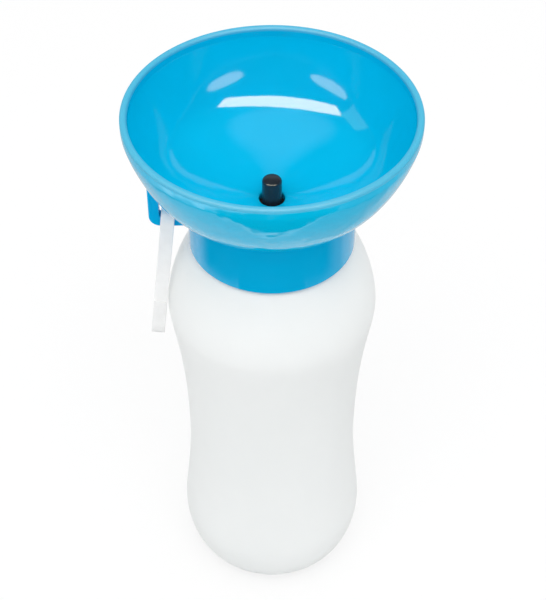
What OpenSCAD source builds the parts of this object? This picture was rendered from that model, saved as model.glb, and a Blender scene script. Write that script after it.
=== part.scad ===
// Dog travel water bottle: a squeeze bottle with a drinking bowl that screws onto its neck.
// Squeezing the bottle drives water up the riser tube, through the valve carrier and out
// round the stem into the bowl; letting go draws it back. Unscrewing the bowl a quarter
// turn lifts it off the seal on the stem and opens the way.
// Millimetres, +Z up. The origin is the centre of the foot that the bottle stands on.

/* [Bottle body] */
// Radius of the shoulder, the widest part
shoulder_r = 37.7; // [36:0.1:42]
// Height of the shoulder's widest point
shoulder_z = 135.5; // [125:0.5:140]
// Radius of the waist
waist_r = 32.4; // [28:0.1:35]
// Height of the waist
waist_z = 68.5; // [60:0.5:80]
// Radius of the lower bulge
bulge_r = 35.7; // [33:0.1:40]
// Height of the lower bulge's widest point
bulge_z = 23; // [20:0.5:35]
// Outer radius of the foot ring that the bottle stands on
foot_r = 24.5; // [20:0.5:30]
// Width of the flat foot ring
foot_w = 3; // [2:0.5:6]
// Rise of the pushed-up base inside the foot ring
base_rise = 5; // [3:0.5:8]
// Wall of the blow-moulded body
bottle_wall = 1.0; // [0.8:0.1:1.6]

/* [Bottle neck] */
// Height of the shoulder's top, where the neck rises
neck_root_z = 163.9; // [160:0.1:168]
// Length of the neck above the shoulder
neck_len = 16.7; // [15.5:0.1:22]
// Outer radius of the neck behind its thread
neck_r = 24.9; // [23:0.1:26]
// Wall of the neck
neck_wall = 1.8; // [1.4:0.1:2.4]

/* [Screw thread] */
// Lead of the thread, the bowl's rise in one turn
thread_lead = 4; // [3.6:0.1:5]
// Height of a thread ridge over its wall
thread_depth = 1.2; // [0.9:0.1:1.4]
// Width of a ridge at its wall
thread_root_w = 2.0; // [1.6:0.1:2.2]
// Width of a ridge at its crest
thread_crest_w = 0.9; // [0.6:0.1:1.2]
// Turns of ridge on the neck
neck_turns = 1.5; // [1:0.25:2]
// Turns of ridge in the collar
collar_turns = 1; // [0.75:0.25:1.25]
// Height of the lowest end of the neck's ridge over the neck's root
thread_rise = 7.4; // [6.5:0.1:8]
// Play between the loaded flanks of the two ridges
thread_play = 0.4; // [0.3:0.05:0.6]

/* [Collar] */
// Gap between a ridge's crest and the wall that faces it
crest_gap = 0.5; // [0.35:0.05:0.7]
// Wall of the collar
collar_wall = 2.4; // [1.8:0.1:3]
// Gap between the collar's lower edge and the bottle's shoulder
collar_gap = 0.6; // [0.4:0.1:1.2]
// Height of the step that centres the bowl in the collar
centring_h = 3.2; // [2:0.1:3.4]

/* [Bowl] */
// Radius of the rim
rim_r = 49.4; // [46:0.1:60]
// Height of the bowl from its seat on the collar to the top of the rim
bowl_h = 32; // [26:0.1:45]
// Height of the bowl's seat over the neck's top
seat_over_neck = 6.9; // [6.5:0.1:8]
// Wall of the bowl
bowl_wall = 2.4; // [1.8:0.1:3]
// Share of the wall's curve, from the rim down, at which the inside turns into the dish
dish_start = 0.62; // [0.56:0.01:0.64]
// Slope of the bowl's floor at the hole, in degrees
floor_tilt = 15; // [12:1:16]
// Depth of the funnel floor from the bowl's seat to its middle
funnel_drop = 5.2; // [4.5:0.1:5.6]
// Radius of the hole that the stem stands in
hole_r = 4.4; // [4.2:0.1:5]
// Thickness of the hub round the hole
hub_h = 2.6; // [2:0.1:3]

/* [Valve] */
// Thickness of the neck gasket
gasket_h = 1.5; // [1:0.1:2]
// Thickness of the carrier's flange on the neck
flange_h = 1.6; // [1.2:0.1:2]
// Depth of the carrier below its flange
carrier_depth = 11.6; // [11:0.1:14]
// Wall of the carrier
carrier_wall = 3.0; // [2.6:0.1:4]
// Thickness of the carrier's floor
carrier_floor = 2.0; // [1.6:0.1:3]
// Radius of the stem
stem_r = 3.4; // [3:0.1:3.8]
// Height of the stem over the bowl's floor at the hole
stem_over_floor = 8.3; // [5:0.1:12]
// Radius of the stem's rounded top edge
stem_round = 1.0; // [0.5:0.1:1.5]
// Radius of the stem's flange
stem_flange_r = 5.8; // [5.6:0.1:7]
// Thickness of the stem's flange
stem_flange_h = 2.0; // [1.5:0.1:3]
// Radius of the stem's fluted plug
plug_r = 2.5; // [2:0.1:3]
// Length of the stem's fluted plug
plug_len = 5; // [3:0.1:5.5]
// Radius of the ports through the carrier's boss
port_r = 1.2; // [0.8:0.1:1.4]
// Cord thickness of both O-rings
seal_cord = 2.0; // [1.6:0.1:2.4]

/* [Riser tube] */
// Outer radius of the tube
tube_r = 3.0; // [2.8:0.1:3.5]
// Wall of the tube
tube_wall = 0.9; // [0.6:0.1:1.2]
// Depth of the socket that holds the tube
socket_depth = 11; // [8:0.5:15]
// Gap between the tube's tip and the pushed-up base
tube_tip_gap = 3; // [2:0.5:8]

/* [Strap] */
// Distance from the rim's edge in to the bracket's outer face
bracket_inset = 6.9; // [6:0.1:7.5]
// Width of the bracket's post
post_w = 3.7; // [3:0.1:4]
// Thickness of the bracket
bracket_t = 4; // [3:0.1:5]
// Height of the bracket's bar
bar_h = 4; // [3:0.1:5]
// Height of the bar's underside over the collar's lower edge
bar_over_collar = 6.5; // [4:0.1:8]
// Radius of the bracket's lower corner
corner_r = 4; // [2:0.5:6]
// Width of the strap band
strap_w = 4.8; // [4:0.1:5.2]
// Thickness of the strap band
strap_t = 1.0; // [0.8:0.1:1.4]
// Length of the strap loop below the bar's middle
strap_drop = 53.5; // [40:0.5:70]
// Outer radius of the loop's lower bend
strap_bend_r = 8; // [6:0.5:10]

/* [Clearances] */
// Gap between parts that slide into each other by hand
slip = 0.2; // [0.1:0.05:0.3]
// Radial gap round the tube in its socket and the plug in its bore
push_fit = 0.05; // [0.02:0.01:0.1]
// Gap left between a seal and the moving part that it closes on
seal_gap = 0.3; // [0.2:0.05:0.4]
// Gap left between the gasket's flat faces and their seats
face_gap = 0.05; // [0.02:0.01:0.1]
// Gap between the strap and what it hangs on or leans against
strap_gap = 0.3; // [0.3:0.05:0.6]

/* [Hidden] */
$fn = 96;
eps = 0.01;
curve_steps = 18;

// Heights, from the neck upwards
neck_top = neck_root_z + neck_len;
flange_top = neck_top + flange_h;
gasket_top = flange_top + face_gap + gasket_h;
land_z = gasket_top + face_gap;
seat_z = neck_top + seat_over_neck;
rim_z = seat_z + bowl_h;
hole_z = seat_z - funnel_drop;
hub_z = hole_z - hub_h;
stem_top = hole_z + stem_over_floor;

// The stem's seal lies just under the hub, on the stem's flange, on the carrier's boss
stem_seal_z = hub_z - seal_gap - seal_cord / 2;
stem_flange_top = stem_seal_z - seal_cord / 2;
boss_top = stem_flange_top - stem_flange_h;
carrier_base = neck_top - carrier_depth;
floor_top = carrier_base + carrier_floor;
socket_base = carrier_base - socket_depth;
tube_top = carrier_base;

// Radii
bore_r = neck_r - neck_wall;
carrier_r = bore_r - slip;
carrier_in_r = carrier_r - carrier_wall;
groove_r = bore_r - seal_cord - push_fit;
collar_bore_r = neck_r + thread_depth + crest_gap;
collar_r = collar_bore_r + collar_wall;
centring_r = neck_r + crest_gap;
land_in_r = carrier_in_r + 1;
boss_r = stem_flange_r + 0.4;
socket_r = tube_r + push_fit;
seal_groove_z = carrier_base + 0.45 * carrier_depth;
lip_r = bowl_wall / 2;
dish_pull = 0.25;
hole_pull = 0.4;
collar_base = neck_root_z + collar_gap;

// Strap bracket and strap
bar_z = collar_base + bar_over_collar + bar_h / 2;
bracket_x = rim_r - bracket_inset;
slot_x = bracket_x - post_w;
strap_x = slot_x - strap_gap - strap_w / 2;
strap_centre_drop = strap_drop - strap_bend_r;
// The shoulder holds the strap away from the bottle: its lean clears the shoulder's widest
// point over the whole swing
shoulder_x = shoulder_r + strap_gap;
strap_lean = atan(max(0, shoulder_x - strap_x + strap_w / 2) / (bar_z - shoulder_z));
// The bar's long edges are rounded about the axis that the strap swings on
bar_edge_r = 0.88 * norm([bracket_t, bar_h]) / 2;
wrap_r = bar_edge_r + strap_gap + strap_w / 2 * sin(strap_lean);

// Point on a cubic curve, with p1 and p2 as its handles
function curve_at(p0, p1, p2, p3, t) =
    pow(1 - t, 3) * p0 + 3 * pow(1 - t, 2) * t * p1 + 3 * (1 - t) * t * t * p2 + t * t * t * p3;
function slope_at(p0, p1, p2, p3, t) =
    pow(1 - t, 2) * (p1 - p0) + 2 * (1 - t) * t * (p2 - p1) + t * t * (p3 - p2);
// The curve shifted to its left by gap, as a list of points, as far as the share last of it
function curve(p, gap = 0, last = 1, steps = curve_steps) = [
    for (i = [0:steps])
        let (t = last * i / steps, d = slope_at(p[0], p[1], p[2], p[3], t))
            curve_at(p[0], p[1], p[2], p[3], t) + gap * [-d[1], d[0]] / norm(d)
];
function reversed(list) = [for (i = [len(list) - 1:-1:0]) list[i]];
// A list without its first point, which the list before it already ends with
function after(list) = [for (i = [1:len(list) - 1]) list[i]];

// The bottle's outline from the middle of its base up to the neck's root
base_curve = [[0, base_rise], [foot_r * 0.4, base_rise], [foot_r * 0.75, 0], [foot_r - foot_w, 0]];
heel_curve = [[foot_r, 0], [foot_r + 0.55 * (bulge_r - foot_r), 0], [bulge_r, bulge_z * 0.4],
              [bulge_r, bulge_z]];
lower_curve = [[bulge_r, bulge_z], [bulge_r, bulge_z + 4], [waist_r, waist_z - 20], [waist_r, waist_z]];
upper_curve = [[waist_r, waist_z], [waist_r, waist_z + 43.5], [shoulder_r, shoulder_z - 7.5],
               [shoulder_r, shoulder_z]];
shoulder_curve = [[shoulder_r, shoulder_z], [shoulder_r, shoulder_z + 8.5],
                  [neck_r + 0.56 * (shoulder_r - neck_r), neck_root_z], [neck_r, neck_root_z]];

// The bowl's wall from the rim down to its seat. Inside it turns off into a dish, which runs
// down to the hole in one smooth hollow.
bowl_curve = [[rim_r, rim_z - 1.5 * bowl_wall], [rim_r, rim_z - 2.5 * bowl_wall],
              [collar_r + 0.64 * (rim_r - collar_r), seat_z + 1.1], [collar_r, seat_z]];
bowl_inside = curve(bowl_curve, -bowl_wall, dish_start);
dish_top = bowl_inside[len(bowl_inside) - 1];
dish_end = [hole_r, hole_z];
dish_run = norm(dish_top - dish_end);
dish_slope = slope_at(bowl_curve[0], bowl_curve[1], bowl_curve[2], bowl_curve[3], dish_start);
dish_curve = [dish_top, dish_top + dish_pull * dish_run * dish_slope / norm(dish_slope),
              dish_end + hole_pull * dish_run * [cos(floor_tilt), sin(floor_tilt)], dish_end];

// A helical ridge: profile holds [radius, height] corners, turned once round for each lead
module ridge(profile, turns, start) {
    rings = ceil(turns * 48);
    corners = len(profile);
    points = [for (i = [0:rings], p = profile)
        let (a = start + 360 * turns * i / rings)
            [p[0] * cos(a), p[0] * sin(a), p[1] + thread_lead * turns * i / rings]];
    sides = [for (i = [0:rings - 1], j = [0:corners - 1])
        let (k = (j + 1) % corners, a = i * corners, b = a + corners)
            [a + j, b + j, b + k, a + k]];
    first = [for (j = [0:corners - 1]) j];
    last = [for (j = [corners - 1:-1:0]) rings * corners + j];
    polyhedron(points, concat([first], sides, [last]), convexity = 6);
}

// Ridge corners, outwards on the neck and inwards in the collar, with the flanks carried on
// into the wall
flank = (thread_root_w - thread_crest_w) / 2 / thread_depth;
ridge_bed = 0.6;
bed_w = thread_root_w / 2 + flank * ridge_bed;
function ridge_out(r) = [[r - ridge_bed, -bed_w], [r - ridge_bed, bed_w],
    [r + thread_depth, thread_crest_w / 2], [r + thread_depth, -thread_crest_w / 2]];
function ridge_in(r) = [[r + ridge_bed, bed_w], [r + ridge_bed, -bed_w],
    [r - thread_depth, -thread_crest_w / 2], [r - thread_depth, thread_crest_w / 2]];

module o_ring(centre_r, z) {
    translate([0, 0, z])
        rotate_extrude()
            translate([centre_r, 0])
                circle(d = seal_cord - 2 * push_fit, $fn = 32);
}

module bottle() {
    color([0.92, 0.94, 0.95, 0.8]) {
        rotate_extrude()
            polygon(concat(
                curve(base_curve),
                curve(heel_curve),
                after(curve(lower_curve)),
                after(curve(upper_curve)),
                after(curve(shoulder_curve)),
                [[neck_r, neck_top], [bore_r, neck_top], [bore_r, neck_root_z]],
                curve(reversed(shoulder_curve), -bottle_wall),
                after(curve(reversed(upper_curve), -bottle_wall)),
                after(curve(reversed(lower_curve), -bottle_wall)),
                after(curve(reversed(heel_curve), -bottle_wall)),
                curve(reversed(base_curve), -bottle_wall)));
        translate([0, 0, neck_root_z + thread_rise])
            ridge(ridge_out(neck_r), neck_turns, 0);
    }
}

module riser_tube() {
    tip = base_rise + bottle_wall + tube_tip_gap;
    color([0.93, 0.94, 0.94])
        difference() {
            translate([0, 0, tip])
                cylinder(h = tube_top - tip, r = tube_r);
            translate([0, 0, tip - 1])
                cylinder(h = tube_top - tip + 2, r = tube_r - tube_wall);
            // The tip is cut aslant so that it can't seal against the base
            translate([0, 0, tip])
                rotate([0, 35, 0])
                    translate([-4 * tube_r, -2 * tube_r, -4 * tube_r])
                        cube([8 * tube_r, 4 * tube_r, 4 * tube_r]);
        }
}

module valve_carrier() {
    groove_h = seal_cord + 2 * slip;
    socket_wall = 1.8;
    port_step = 0.2;
    color([0.09, 0.09, 0.1])
        difference() {
            union() {
                translate([0, 0, neck_top + face_gap])
                    cylinder(h = flange_h - face_gap, r = neck_r);
                translate([0, 0, carrier_base])
                    cylinder(h = carrier_depth + flange_h / 2, r = carrier_r);
                translate([0, 0, socket_base])
                    cylinder(h = socket_depth + eps, r = socket_r + socket_wall);
            }
            // Cup above the floor, leaving the boss
            difference() {
                translate([0, 0, floor_top])
                    cylinder(h = flange_top - floor_top + 1, r = carrier_in_r);
                translate([0, 0, floor_top - 1])
                    cylinder(h = boss_top - floor_top + 1, r = boss_r);
            }
            // Groove for the seal
            difference() {
                translate([0, 0, seal_groove_z - groove_h / 2])
                    cylinder(h = groove_h, r = carrier_r + 1);
                translate([0, 0, seal_groove_z - groove_h])
                    cylinder(h = 2 * groove_h, r = groove_r);
            }
            // Socket for the tube, and the bore for the stem's plug
            translate([0, 0, socket_base - 1])
                cylinder(h = tube_top - socket_base + 1 + push_fit, r = socket_r);
            translate([0, 0, carrier_base])
                cylinder(h = boss_top - carrier_base + 1, r = plug_r + push_fit);
            // Ports from the bore into the cup
            for (turn = [0:120:240])
                rotate([0, 0, turn])
                    translate([0, 0, floor_top + port_r + port_step])
                        rotate([0, 90, 0])
                            cylinder(h = boss_r + 1, r = port_r, $fn = 32);
        }
}

module carrier_seal() {
    color([0.16, 0.16, 0.17])
        o_ring(groove_r + seal_cord / 2, seal_groove_z);
}

module valve_stem() {
    color([0.05, 0.05, 0.06])
        difference() {
            rotate_extrude()
                polygon(concat(
                    [[0, boss_top - plug_len], [plug_r, boss_top - plug_len],
                     [plug_r, boss_top], [stem_flange_r, boss_top], [stem_flange_r, stem_flange_top],
                     [stem_r, stem_flange_top], [stem_r, stem_top - stem_round]],
                    [for (a = [15:15:90]) [stem_r - stem_round, stem_top - stem_round]
                        + stem_round * [cos(a), sin(a)]],
                    [[0, stem_top]]));
            // Flutes that carry the water past the plug to the ports
            for (turn = [0:120:240])
                rotate([0, 0, turn])
                    translate([plug_r, 0, boss_top - plug_len - 1])
                        cylinder(h = plug_len + 0.4, r = port_r, $fn = 32);
        }
}

module stem_seal() {
    color([0.16, 0.16, 0.17])
        o_ring(stem_r + seal_cord / 2, stem_seal_z);
}

module neck_gasket() {
    color([0.86, 0.87, 0.88])
        difference() {
            translate([0, 0, flange_top + face_gap])
                cylinder(h = gasket_h, r = neck_r);
            translate([0, 0, flange_top])
                cylinder(h = 2 * gasket_h, r = land_in_r);
        }
}

module collar() {
    // The collar's ridge bears up under the neck's, thread_play below it
    ridge_z = neck_root_z + thread_rise - thread_play - thread_root_w
        + flank * (thread_depth + crest_gap);
    entry_chamfer = collar_bore_r - centring_r;
    color([0.0, 0.62, 0.82]) {
        rotate_extrude()
            polygon([[collar_bore_r, collar_base], [collar_r, collar_base], [collar_r, seat_z],
                     [centring_r, seat_z], [centring_r, seat_z - centring_h],
                     [collar_bore_r, seat_z - centring_h - entry_chamfer]]);
        translate([0, 0, ridge_z])
            ridge(ridge_in(collar_bore_r), collar_turns, 0);
    }
}

// The bowl's outside, filled solid down to the floor of its seat
module bowl_body() {
    rotate_extrude()
        polygon(concat([[0, bowl_curve[0][1]]], curve(bowl_curve), [[0, seat_z]]));
}

module bowl() {
    spigot_r = centring_r - push_fit;
    hub_r = hole_r + bowl_wall;
    under = [for (p = curve(dish_curve, bowl_wall)) if (p[0] < land_in_r - 0.5 && p[0] > hub_r + 1) p];
    lip = [for (a = [0:15:180]) [rim_r - lip_r, rim_z - lip_r] + lip_r * [cos(a), sin(a)]];
    color([0.0, 0.71, 0.9])
        rotate_extrude()
            polygon(concat(
                reversed(curve(bowl_curve)),
                lip,
                bowl_inside,
                after(curve(dish_curve)),
                [[hole_r, hub_z], [hub_r, hub_z]],
                reversed(under),
                [[land_in_r, land_z], [spigot_r, land_z], [spigot_r, seat_z]]));
}

module strap_bracket() {
    base = bar_z - bar_h / 2;
    color([0.0, 0.6, 0.82])
        difference() {
            union() {
                // Post, down to the rounded corner
                translate([-bracket_x, -bracket_t / 2, base + corner_r])
                    cube([post_w, bracket_t, bowl_curve[1][1] - base - corner_r]);
                // Bar, from the corner to the collar
                intersection() {
                    translate([-bracket_x + corner_r, -bracket_t / 2, base])
                        cube([bracket_x - corner_r - centring_r, bracket_t, bar_h]);
                    translate([-bracket_x, 0, bar_z])
                        rotate([0, 90, 0])
                            cylinder(h = bracket_x, r = bar_edge_r);
                }
                intersection() {
                    translate([-bracket_x + corner_r, 0, base + corner_r])
                        rotate([90, 0, 0])
                            cylinder(h = bracket_t, r = corner_r, center = true);
                    translate([-bracket_x, -bracket_t, base])
                        cube([corner_r + eps, 2 * bracket_t, corner_r + eps]);
                }
            }
            bowl_body();
            translate([0, 0, collar_base])
                cylinder(h = seat_z - collar_base, r = collar_r);
        }
}

// Outline of a loop: two arcs joined by their common tangents, the upper one round the origin
function loop_outline(top_r, low_r, drop, steps = 16) =
    let (lean = asin((low_r - top_r) / drop))
        concat(
            [for (i = [0:steps]) let (a = lean + (180 - 2 * lean) * i / steps)
                top_r * [cos(a), sin(a)]],
            [for (i = [0:steps]) let (a = 180 - lean + (180 + 2 * lean) * i / steps)
                low_r * [cos(a), sin(a)] - [0, drop]]);

module hand_strap() {
    color([0.93, 0.93, 0.93])
        translate([-strap_x, 0, bar_z])
            rotate([0, strap_lean, 0])
                rotate([90, 0, 90])
                    linear_extrude(strap_w, center = true)
                        difference() {
                            polygon(loop_outline(wrap_r + strap_t, strap_bend_r, strap_centre_drop));
                            polygon(loop_outline(wrap_r, strap_bend_r - strap_t, strap_centre_drop));
                        }
}

bottle();
riser_tube();
valve_carrier();
carrier_seal();
valve_stem();
stem_seal();
neck_gasket();
collar();
bowl();
strap_bracket();
hand_strap();
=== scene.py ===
"""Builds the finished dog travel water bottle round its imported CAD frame."""

import math

import bmesh
import bpy
from bpy.props import FloatProperty, FloatVectorProperty, PointerProperty
from mathutils import Matrix, Vector


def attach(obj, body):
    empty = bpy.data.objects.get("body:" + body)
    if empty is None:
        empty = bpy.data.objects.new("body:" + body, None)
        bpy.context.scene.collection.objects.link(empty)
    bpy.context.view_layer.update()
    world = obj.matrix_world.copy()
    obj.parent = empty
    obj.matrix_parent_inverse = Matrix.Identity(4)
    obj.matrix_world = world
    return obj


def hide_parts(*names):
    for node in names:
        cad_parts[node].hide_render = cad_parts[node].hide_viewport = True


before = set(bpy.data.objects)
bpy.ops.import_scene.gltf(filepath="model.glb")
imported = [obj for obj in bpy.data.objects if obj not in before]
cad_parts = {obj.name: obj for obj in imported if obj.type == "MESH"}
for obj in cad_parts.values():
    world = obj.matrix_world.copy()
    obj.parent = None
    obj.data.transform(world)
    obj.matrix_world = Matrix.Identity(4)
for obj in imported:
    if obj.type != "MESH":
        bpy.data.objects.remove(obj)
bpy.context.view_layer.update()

bl_info = {
    "name": "Dog Travel Water Bottle",
    "version": (1, 0, 0),
    "blender": (4, 5, 0),
    "location": "3D View > Sidebar > Water Bottle",
    "description": "Builds a squeeze water bottle with a drinking bowl, its materials and a studio",
    "category": "Add Mesh",
}

MM = 0.001
TURN = 2 * math.pi
TURN_STEPS = 160
CURVE_STEPS = 28
CORNER_SEGMENTS = 4
MERGE_DISTANCE = 1e-7
SHARP_ANGLE = math.radians(38)
# Handles of the bottle's curves: lengths along the axis, and shares of a step in radius
BULGE_PULL = 4 * MM
WAIST_PULL = 20 * MM
SWELL_PULL = 43.5 * MM
SHOULDER_PULL = 7.5 * MM
SHOULDER_RISE = 8.5 * MM
HEEL_SHARE = 0.55
ROOT_SHARE = 0.56
# Handles of the bowl's curves: walls below the rim, and shares of a step in radius or of a run
LIP_DROP = 1.5
RIM_PULL = 2.5
FLARE_SHARE = 0.64
FLARE_RISE = 1.1 * MM
DISH_PULL = 0.25
HOLE_PULL = 0.4
# The thread: steps in a turn, rounding of its crest, and its fade at each end in shares of a turn
RIDGE_STEPS = 96
RIDGE_EDGE = 0.25 * MM
RIDGE_FADE = 0.07
RIDGE_OVERRUN = 0.002
RIDGE_END = 0.25
# Length of the flutes along the stem's plug
FLUTE_LENGTH = 4.7 * MM
# Roughness of the bowl's matt lip, and the walls below the rim at which it starts
LIP_ROUGHNESS = 0.6
LIP_DEPTH = 0.6


# Sizes and colours ---------------------------------------------------------------------------

def length(name, description, millimetres, smallest=0.0):
    """A length property given in millimetres."""
    return FloatProperty(
        name=name, description=description, default=millimetres * MM,
        min=smallest * MM, subtype="DISTANCE", unit="LENGTH", precision=5,
    )


def colour(name, description, value):
    """A linear colour property."""
    return FloatVectorProperty(
        name=name, description=description, default=value, min=0, max=1, size=3, subtype="COLOR",
    )


class SqueezeBottleSizes(bpy.types.PropertyGroup):
    """Sizes of the squeeze bottle and its neck."""

    shoulder_radius: length("Shoulder radius", "Radius of the widest part", 37.7)
    shoulder_height: length("Shoulder height", "Height of the widest part", 135.5)
    waist_radius: length("Waist radius", "Radius of the grip", 32.4)
    waist_height: length("Waist height", "Height of the narrowest part of the grip", 68.5)
    bulge_radius: length("Bulge radius", "Radius of the lower bulge", 35.7)
    bulge_height: length("Bulge height", "Height of the lower bulge", 23.0)
    foot_radius: length("Foot radius", "Outer radius of the flat foot ring", 24.5)
    foot_width: length("Foot width", "Width of the flat foot ring", 3.0)
    base_rise: length("Base rise", "Rise of the base inside the foot ring", 5.0)
    wall: length("Wall", "Wall of the blown body", 1.0)
    neck_root: length("Neck root", "Height at which the neck rises from the shoulder", 163.9)
    neck_top: length("Neck top", "Height of the neck's finish", 180.6)
    neck_radius: length("Neck radius", "Outer radius of the neck behind its thread", 24.9)
    neck_wall: length("Neck wall", "Wall of the neck", 1.8)


class ThreadSizes(bpy.types.PropertyGroup):
    """Sizes of the screw thread on the neck and in the collar."""

    lead: length("Lead", "Rise of the thread in one turn", 4.0)
    depth: length("Depth", "Height of a ridge over its wall", 1.2)
    root_width: length("Root width", "Width of a ridge at its wall", 2.0)
    crest_width: length("Crest width", "Width of a ridge at its crest", 0.9)
    bed: length("Bed", "How far a ridge is sunk into its wall", 0.6)
    neck_start: length("Neck start", "Height of the lower end of the neck's ridge", 171.3)
    collar_start: length("Collar start", "Height of the lower end of the collar's ridge", 169.68)
    neck_turns: FloatProperty(name="Neck turns", description="Turns of ridge on the neck", default=1.5)
    collar_turns: FloatProperty(
        name="Collar turns", description="Turns of ridge in the collar", default=1.0)


class DrinkingBowlSizes(bpy.types.PropertyGroup):
    """Sizes of the drinking bowl and the collar under it."""

    rim_radius: length("Rim radius", "Outer radius of the rim", 49.4)
    rim_height: length("Rim height", "Height of the top of the rim", 219.5)
    wall: length("Wall", "Wall of the bowl", 2.4)
    seat_height: length("Seat height", "Height of the joint between bowl and collar", 187.5)
    dish_start: FloatProperty(
        name="Dish start", default=0.62, min=0.56, max=0.64,
        description="Share of the wall's curve, from the rim down, where the inside turns to the dish")
    floor_tilt: FloatProperty(
        name="Floor tilt", description="Slope of the floor at the hole",
        default=math.radians(15), min=math.radians(12), max=math.radians(16), subtype="ANGLE")
    hole_radius: length("Hole radius", "Radius of the hole round the stem", 4.4)
    hole_height: length("Hole height", "Height of the floor at the hole", 182.3)
    hub_height: length("Hub height", "Height of the underside of the hub", 179.7)
    land_height: length("Land height", "Height of the underside that seals on the gasket", 183.8)
    land_radius: length("Land radius", "Inner radius of the sealing face", 20.9)
    spigot_radius: length("Spigot radius", "Radius of the spigot that centres the bowl", 25.35)
    collar_radius: length("Collar radius", "Outer radius of the collar", 29.0)
    collar_bore: length("Collar bore", "Inner radius of the collar", 26.6)
    collar_base: length("Collar base", "Height of the collar's lower edge", 164.5)
    centring_radius: length("Centring radius", "Inner radius of the collar's top step", 25.4)
    centring_depth: length("Centring depth", "Depth of the collar's top step", 3.2)


class ValveStemSizes(bpy.types.PropertyGroup):
    """Sizes of the stem that stands in the bowl's floor."""

    radius: length("Radius", "Radius of the stem", 3.4)
    top: length("Top", "Height of the stem's top", 190.6)
    edge: length("Edge", "Radius of the rounded top edge", 1.0)
    flange_radius: length("Flange radius", "Radius of the flange under the seal", 5.8)
    flange_top: length("Flange top", "Height of the flange's upper face", 177.4)
    flange_base: length("Flange base", "Height of the flange's lower face", 175.4)
    plug_radius: length("Plug radius", "Radius of the fluted plug", 2.5)
    plug_base: length("Plug base", "Height of the plug's end", 170.4)
    flute_radius: length("Flute radius", "Radius of a flute along the plug", 1.2)


class StrapSizes(bpy.types.PropertyGroup):
    """Sizes of the hook under the bowl and of the strap that hangs on it."""

    hook_reach: length("Hook reach", "Distance from the axis to the hook's outer face", 42.5)
    post_width: length("Post width", "Width of the hook's post", 3.7)
    hook_thickness: length("Hook thickness", "Thickness of the hook", 4.0)
    bar_height: length("Bar height", "Height of the hook's bar", 4.0)
    bar_level: length("Bar level", "Height of the bar's middle", 173.0)
    corner: length("Corner", "Radius of the hook's lower corner", 4.0)
    post_outer_top: length(
        "Post outer top", "Height of the post's outer side, inside the bowl's wall", 200.0)
    post_inner_top: length(
        "Post inner top", "Height of the post's inner side, inside the bowl's wall", 195.5)
    hook_edge: length("Hook edge", "Radius of the hook's long edges", 0.5)
    strap_edge: length("Strap edge", "Radius of the strap's long edges", 0.22)
    strap_width: length("Strap width", "Width of the strap band", 4.8)
    strap_thickness: length("Strap thickness", "Thickness of the strap band", 1.0)
    strap_distance: length("Strap distance", "Distance from the axis to the strap's middle", 36.1)
    strap_drop: length("Strap drop", "Length of the loop below the bar's middle", 53.5)
    wrap: length("Wrap", "Inner radius of the loop round the bar", 3.06)
    bend: length("Bend", "Outer radius of the loop's lower bend", 8.0)
    lap_from: length("Lap from", "Drop at which the glued lap begins", 34.0)
    lap_thickness: length("Lap thickness", "How far the lap stands proud of the band", 0.28)
    lean: FloatProperty(
        name="Lean", description="Angle at which the shoulder holds the strap away",
        default=math.radians(6.54), subtype="ANGLE", unit="ROTATION",
    )


class Finishes(bpy.types.PropertyGroup):
    """Colours of the plastics and rubbers. The lip's, the collar's and the hook's hold painted light and
    shade.
    """

    bowl_blue: colour("Bowl blue", "Colour of the bowl", (0.0, 0.495, 0.785))
    # The lip's colour is painted light: the bowl's blue made paler and darker, standing in for how the lip
    # catches the light
    lip_painted_blue: colour("Lip blue", "Colour of the bowl's matt lip", (0.03, 0.43, 0.66))
    # The collar's colour is the bowl's blue darkened with painted shade, for its place under the bowl
    collar_shaded_blue: colour("Collar blue", "Colour of the collar", (0.0, 0.415, 0.745))
    # The hook's colour is the bowl's blue retinted with painted light, for its front face in the front
    # lamp's light
    hook_lit_blue: colour("Hook blue", "Colour of the strap's hook", (0.0, 0.45, 0.83))
    milky_white: colour("Milky white", "Colour of the squeeze bottle", (0.9, 0.93, 0.925))
    strap_white: colour("Strap white", "Colour of the strap", (0.92, 0.925, 0.925))
    stem_black: colour("Stem black", "Colour of the stem", (0.02, 0.024, 0.03))
    valve_black: colour("Valve black", "Colour of the valve carrier", (0.022, 0.022, 0.025))
    seal_black: colour("Seal black", "Colour of the sealing rings", (0.03, 0.03, 0.032))
    gasket_grey: colour("Gasket grey", "Colour of the neck gasket", (0.66, 0.68, 0.7))
    tube_white: colour("Tube white", "Colour of the riser tube", (0.8, 0.83, 0.84))


class WaterBottleSettings(bpy.types.PropertyGroup):
    """All the settings of the water bottle."""

    bottle: PointerProperty(type=SqueezeBottleSizes)
    thread: PointerProperty(type=ThreadSizes)
    bowl: PointerProperty(type=DrinkingBowlSizes)
    stem: PointerProperty(type=ValveStemSizes)
    strap: PointerProperty(type=StrapSizes)
    finish: PointerProperty(type=Finishes)


# Mesh helpers --------------------------------------------------------------------------------

def curve_point(handles, t):
    """Point and direction at the share t of a cubic curve in the (radius, height) plane."""
    p0, p1, p2, p3 = (Vector(p) for p in handles)
    s = 1 - t
    point = s**3 * p0 + 3 * s * s * t * p1 + 3 * s * t * t * p2 + t**3 * p3
    slope = s * s * (p1 - p0) + 2 * s * t * (p2 - p1) + t * t * (p3 - p2)
    return point, slope.normalized()


def curve_line(handles, gap=0.0, last=1.0, steps=CURVE_STEPS):
    """Points on a cubic curve up to its share last, shifted to its left by gap."""
    line = []
    for i in range(steps + 1):
        point, along = curve_point(handles, last * i / steps)
        line.append(tuple(point + gap * Vector((-along.y, along.x))))
    return line


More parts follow.
